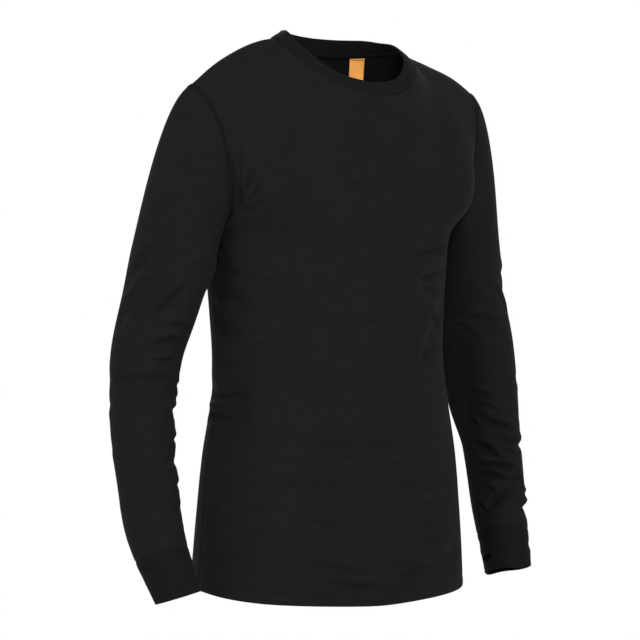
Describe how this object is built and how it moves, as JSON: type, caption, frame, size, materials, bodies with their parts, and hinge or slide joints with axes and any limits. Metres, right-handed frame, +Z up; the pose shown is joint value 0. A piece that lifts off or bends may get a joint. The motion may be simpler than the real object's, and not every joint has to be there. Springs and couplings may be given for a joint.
{
  "type": "base layer top",
  "caption": "Long-sleeved crew-neck base layer top in fine black knit, worn shape with no wearer: open neck, hem and cuffs, thumb slots in the cuffs",
  "frame": {"origin": "middle of the neck, level with the neck ends of the shoulder seams, where the wearer's shoulders hold the garment up", "axes": "+X to the wearer's left, -Y the way the wearer faces, +Z up"},
  "size_m": [0.6112, 0.2529, 0.7216],
  "materials": {
    "body_knit": "fine matt jersey knit with a faint heather",
    "rib_knit": "double knit, matt",
    "label": "woven label, bare"
  },
  "bodies": {
    "root": {"front_panel": "body_knit", "back_panel": "body_knit", "right_sleeve": "body_knit", "left_sleeve": "body_knit", "right_cuff": "rib_knit", "left_cuff": "rib_knit", "neckband": "rib_knit", "neck_label": "label"}
  },
  "joints": []
}
